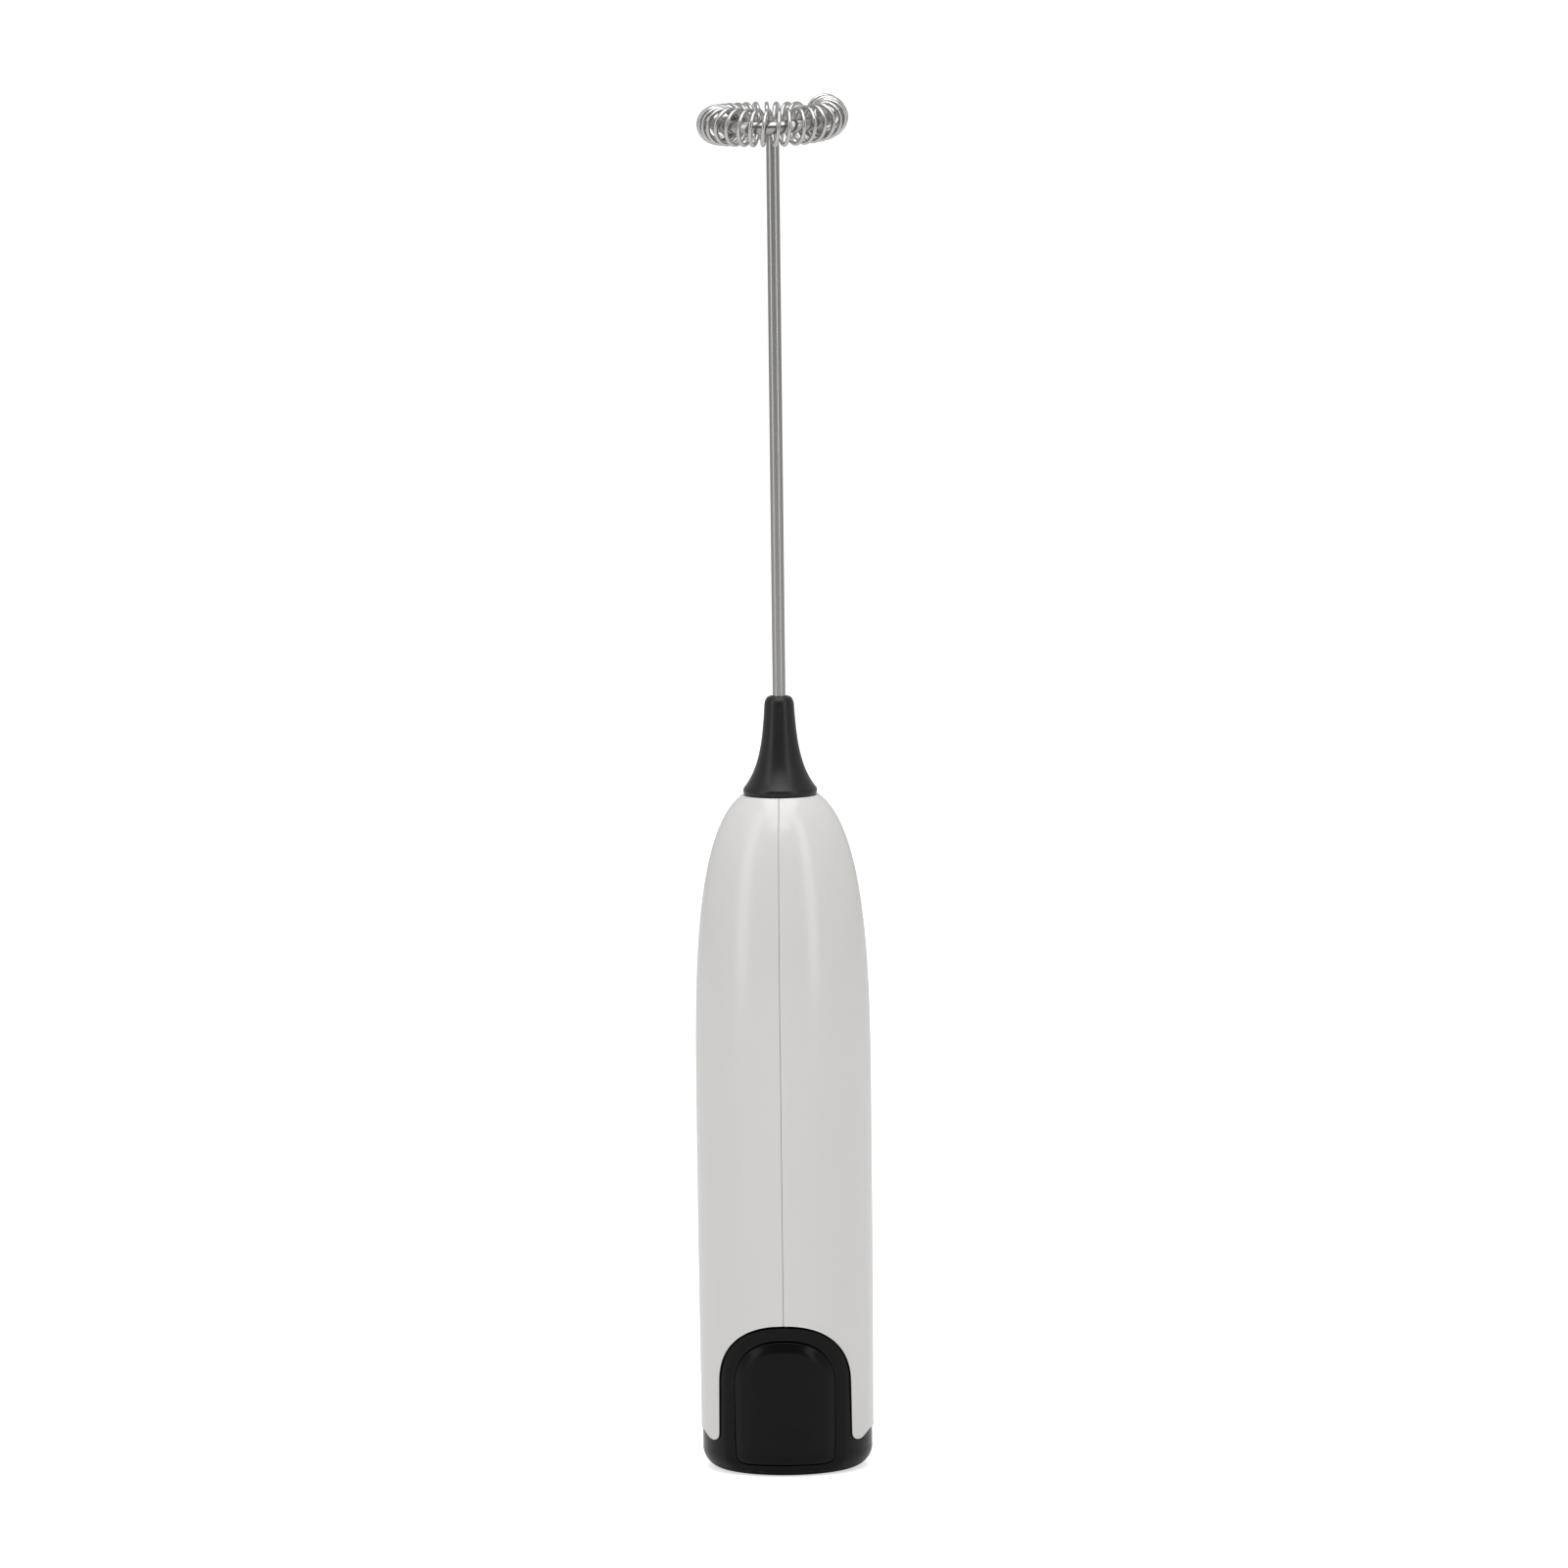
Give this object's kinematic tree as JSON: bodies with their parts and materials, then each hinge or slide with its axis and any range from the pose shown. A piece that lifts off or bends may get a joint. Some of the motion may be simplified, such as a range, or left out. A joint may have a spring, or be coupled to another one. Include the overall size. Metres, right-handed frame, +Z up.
{
  "type": "milk frother",
  "caption": "Handheld battery milk frother: bullet-shaped handle, arched push button, wire shaft and coil ring whisk.",
  "frame": {"origin": "centre of the end cap's flat foot, on the surface that the frother stands on", "axes": "+Z up along the handle and the shaft, -Y towards the push button, +X to the right of the button"},
  "size_m": [0.027, 0.027, 0.2116],
  "materials": {
    "white_shell": "glossy injection moulded",
    "black_gloss": "glossy injection moulded",
    "black_button": "glossy injection moulded",
    "black_satin": "fine satin texture",
    "rubber_seal": "moulded",
    "tray_plastic": "moulded",
    "carrier_plastic": "moulded",
    "cell_steel": "bright drawn can",
    "cell_jacket": "printed sleeve without marks",
    "contact_nickel": "nickel plated",
    "contact_bronze": "spring bronze",
    "motor_steel": "zinc plated",
    "sintered_bronze": "sintered",
    "motor_nylon": "moulded nylon",
    "ferrite": "sintered ferrite",
    "copper": "bare copper",
    "enamel_copper": "enamelled winding wire",
    "core_steel": "laminated",
    "shaft_steel": "ground",
    "coupling_brass": "turned",
    "whisk_steel": "bright drawn stainless",
    "coil_steel": "bright spring wire",
    "red_sleeve": "wire insulation",
    "blue_sleeve": "wire insulation",
    "capacitor_disc": "dipped ceramic"
  },
  "bodies": {
    "end_cap": {"end_cap": "black_gloss", "contact_carrier": "carrier_plastic", "cap_contact_spring": "contact_nickel", "fixed_contact": "contact_nickel"},
    "power_button": {"power_button": "black_button"},
    "switch_leaf": {"switch_leaf": "contact_bronze"},
    "handle": {"left_shell": "white_shell", "right_shell": "white_shell", "nose_cone": "black_satin", "nose_bush": "sintered_bronze", "shaft_seal": "rubber_seal", "battery_tray": "tray_plastic", "battery_right": "cell_steel", "battery_left": "cell_steel", "battery_jacket_right": "cell_jacket", "battery_jacket_left": "cell_jacket", "top_contact_plate": "contact_nickel", "top_contact_spring": "contact_nickel", "motor_can": "motor_steel", "motor_front_bearing": "sintered_bronze", "motor_end_bell": "motor_nylon", "motor_rear_bearing": "sintered_bronze", "motor_magnets": "ferrite", "motor_brushes": "copper", "motor_terminals": "copper", "positive_lead": "red_sleeve", "negative_lead": "blue_sleeve", "noise_capacitor": "capacitor_disc"},
    "drive": {"motor_shaft": "shaft_steel", "armature_core": "core_steel", "armature_windings": "enamel_copper", "commutator": "copper", "drive_coupling": "coupling_brass", "whisk_wire": "whisk_steel", "whisk_coil": "coil_steel"}
  },
  "joints": [
    {"name": "handle_pull", "type": "slide", "parent": "end_cap", "child": "handle", "axis": [0, 0, 1], "range_m": [0, 0.03]},
    {"name": "whisk_spin", "type": "hinge", "parent": "handle", "child": "drive", "pos_m": [0, 0, 0.1], "axis": [0, 0, 1], "continuous": true},
    {"name": "button_press", "type": "hinge", "parent": "end_cap", "child": "power_button", "pos_m": [0, -0.0083, 0.0035], "axis": [-1, 0, 0], "range_deg": [0, 2.6], "stiffness_Nm_per_rad": 0.3, "springref_deg": -1.15},
    {"name": "leaf_flex", "type": "hinge", "parent": "end_cap", "child": "switch_leaf", "pos_m": [0, -0.0092, 0.0084], "axis": [-1, 0, 0], "range_deg": [0, 4.4]}
  ],
  "couplings": [
    {"joint": "leaf_flex", "follows": "button_press", "ratio": 1.62}
  ]
}
